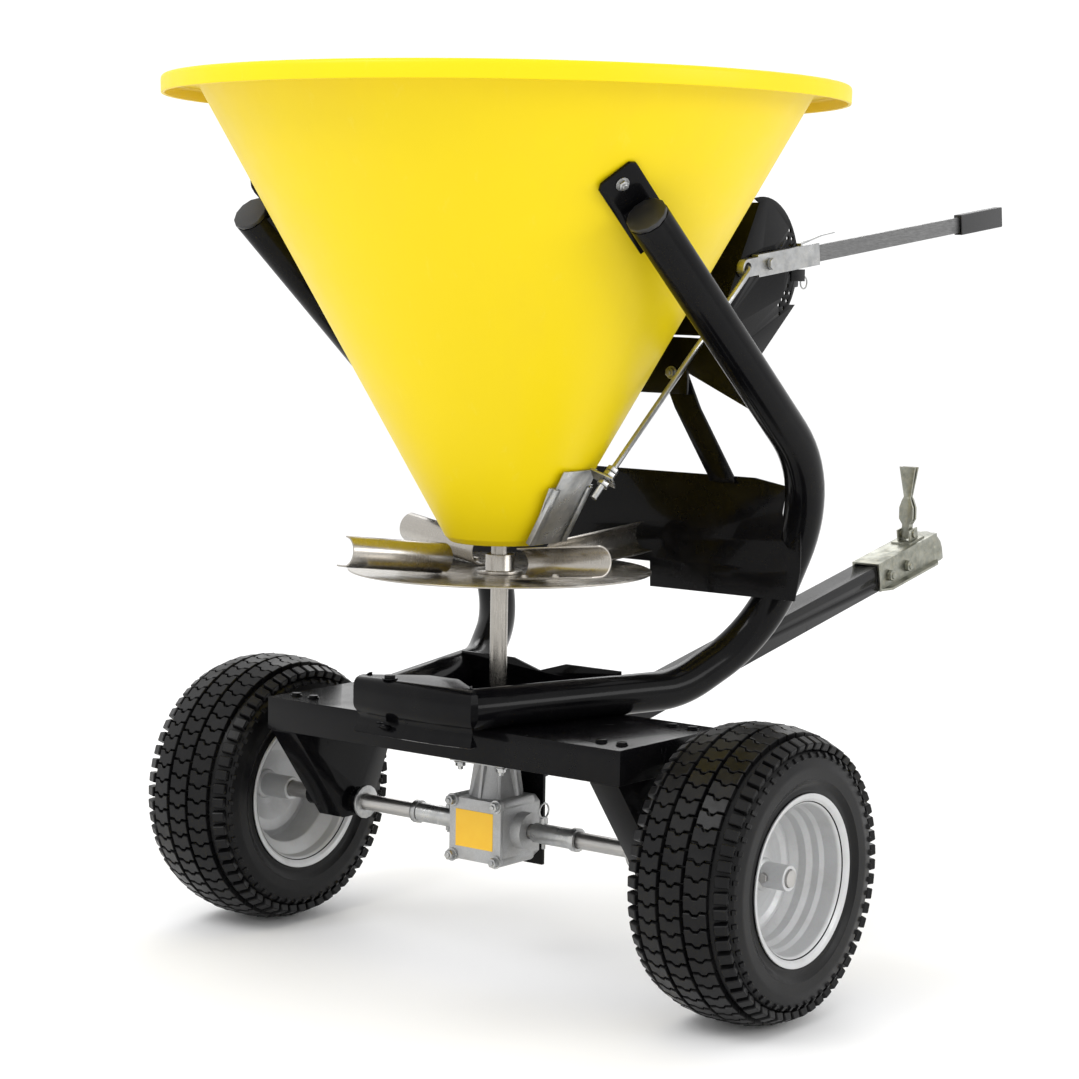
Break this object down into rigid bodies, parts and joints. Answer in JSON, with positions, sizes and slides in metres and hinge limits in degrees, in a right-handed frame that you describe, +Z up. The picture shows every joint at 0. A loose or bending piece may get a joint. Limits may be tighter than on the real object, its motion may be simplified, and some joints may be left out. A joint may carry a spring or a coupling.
{
  "type": "tow-behind broadcast spreader",
  "caption": "Tow-behind garden spreader: conical hopper on bent tube frame over a ground-driven bevel gearbox, vaned spinner disc, flow lever with shutter, and drawbar with ball coupler.",
  "frame": {"origin": "centre of the bounding box on the ground under the tyres", "axes": "+X towards the hitch, +Y to the left of travel, +Z up"},
  "size_m": [1.7356, 1.0518, 1.2587],
  "materials": {
    "yellow_plastic": "satin",
    "black_paint": "gloss",
    "zinc_plate": "satin",
    "stainless": "satin",
    "silver_paint": "satin",
    "cast_alloy": "matte",
    "tyre_rubber": "matte",
    "bare_steel": "satin",
    "black_plastic": "satin",
    "bronze": "satin"
  },
  "bodies": {
    "chassis": {"hopper": "yellow_plastic", "hopper_bush": "bronze", "shutter_guide": "zinc_plate", "support_tube_right": "black_paint", "support_tube_left": "black_paint", "tube_cap_right": "black_plastic", "tube_cap_left": "black_plastic", "hopper_bracket_right": "black_paint", "hopper_bracket_left": "black_paint", "nose_band": "black_paint", "base_tray": "black_paint", "front_tie_plate": "black_paint", "axle_hanger_right": "black_paint", "axle_hanger_left": "black_paint", "axle_bush_right": "zinc_plate", "axle_bush_left": "zinc_plate", "gearbox_housing": "cast_alloy", "gearbox_cover": "cast_alloy", "cross_bearing_right": "bare_steel", "cross_bearing_left": "bare_steel", "pinion_bearing": "bare_steel", "front_crossmember": "black_paint", "shield_brace_right": "black_paint", "shield_brace_left": "black_paint", "deflector_shield": "black_paint", "quadrant_bracket": "black_paint", "lever_pivot_bolt": "zinc_plate", "tongue": "black_paint", "coupler_body": "zinc_plate", "coupler_bolt_rear": "zinc_plate", "coupler_bolt_front": "zinc_plate"},
    "axle": {"tyre_right": "tyre_rubber", "tyre_left": "tyre_rubber", "rim_right": "silver_paint", "rim_left": "silver_paint", "half_shaft_right": "bare_steel", "half_shaft_left": "bare_steel", "shaft_sleeve_right": "zinc_plate", "shaft_sleeve_left": "zinc_plate", "lynch_pin": "zinc_plate", "cross_shaft": "bare_steel", "crown_gear": "bare_steel"},
    "spinner": {"pinion_gear": "bare_steel", "spinner_shaft": "bare_steel", "spinner_disc": "stainless", "spinner_hub": "stainless", "vane_one": "stainless", "vane_two": "stainless", "vane_three": "stainless", "vane_four": "stainless", "agitator": "bare_steel"},
    "flow_lever": {"lever_channel": "zinc_plate", "lever_bar": "zinc_plate", "lever_grip": "black_plastic"},
    "shutter": {"shutter_slide": "zinc_plate"},
    "link": {"link_rod": "zinc_plate"},
    "lever_stop": {"stop_clamp": "black_paint"},
    "stop_knob": {"stop_knob": "black_plastic"},
    "latch_handle": {"latch_lever": "zinc_plate"},
    "latch_catch": {"latch_jaw": "zinc_plate"}
  },
  "joints": [
    {"name": "axle_turn", "type": "hinge", "parent": "chassis", "child": "axle", "pos_m": [-0.38709, 0, 0.202], "axis": [0, 1, 0], "continuous": true},
    {"name": "spinner_turn", "type": "hinge", "parent": "chassis", "child": "spinner", "pos_m": [-0.38709, 0, 0.566], "axis": [0, 0, 1], "continuous": true},
    {"name": "lever_swing", "type": "hinge", "parent": "chassis", "child": "flow_lever", "pos_m": [-0.02709, -0.206, 1.013], "axis": [0, 1, 0], "range_deg": [0, 36]},
    {"name": "shutter_lift", "type": "slide", "parent": "chassis", "child": "shutter", "axis": [0, -0.4887, 0.8724], "range_m": [0, 0.0443]},
    {"name": "rod_swing", "type": "hinge", "parent": "shutter", "child": "link", "pos_m": [-0.35309, -0.16014, 0.71023], "axis": [-0.6713, 0.3175, 0.6697], "range_deg": [0, 3.53]},
    {"name": "stop_adjust", "type": "hinge", "parent": "chassis", "child": "lever_stop", "pos_m": [-0.02709, -0.195, 1.013], "axis": [0, 1, 0], "range_deg": [-22, 10]},
    {"name": "knob_turn", "type": "hinge", "parent": "lever_stop", "child": "stop_knob", "pos_m": [0.07761, -0.195, 0.99642], "axis": [0, 1, 0], "continuous": true},
    {"name": "latch_swing", "type": "hinge", "parent": "chassis", "child": "latch_handle", "pos_m": [0.76917, 0, 0.54214], "axis": [0, -1, 0], "range_deg": [0, 80]},
    {"name": "jaw_swing", "type": "hinge", "parent": "chassis", "child": "latch_catch", "pos_m": [0.75981, 0, 0.50761], "axis": [0, 1, 0], "range_deg": [0, 24.5]}
  ],
  "couplings": [
    {"joint": "spinner_turn", "follows": "axle_turn", "ratio": -3},
    {"joint": "shutter_lift", "follows": "lever_swing", "m_per_rad": 0.069828},
    {"joint": "rod_swing", "follows": "lever_swing", "ratio": 0.089841},
    {"joint": "jaw_swing", "follows": "latch_swing", "ratio": 0.3}
  ]
}
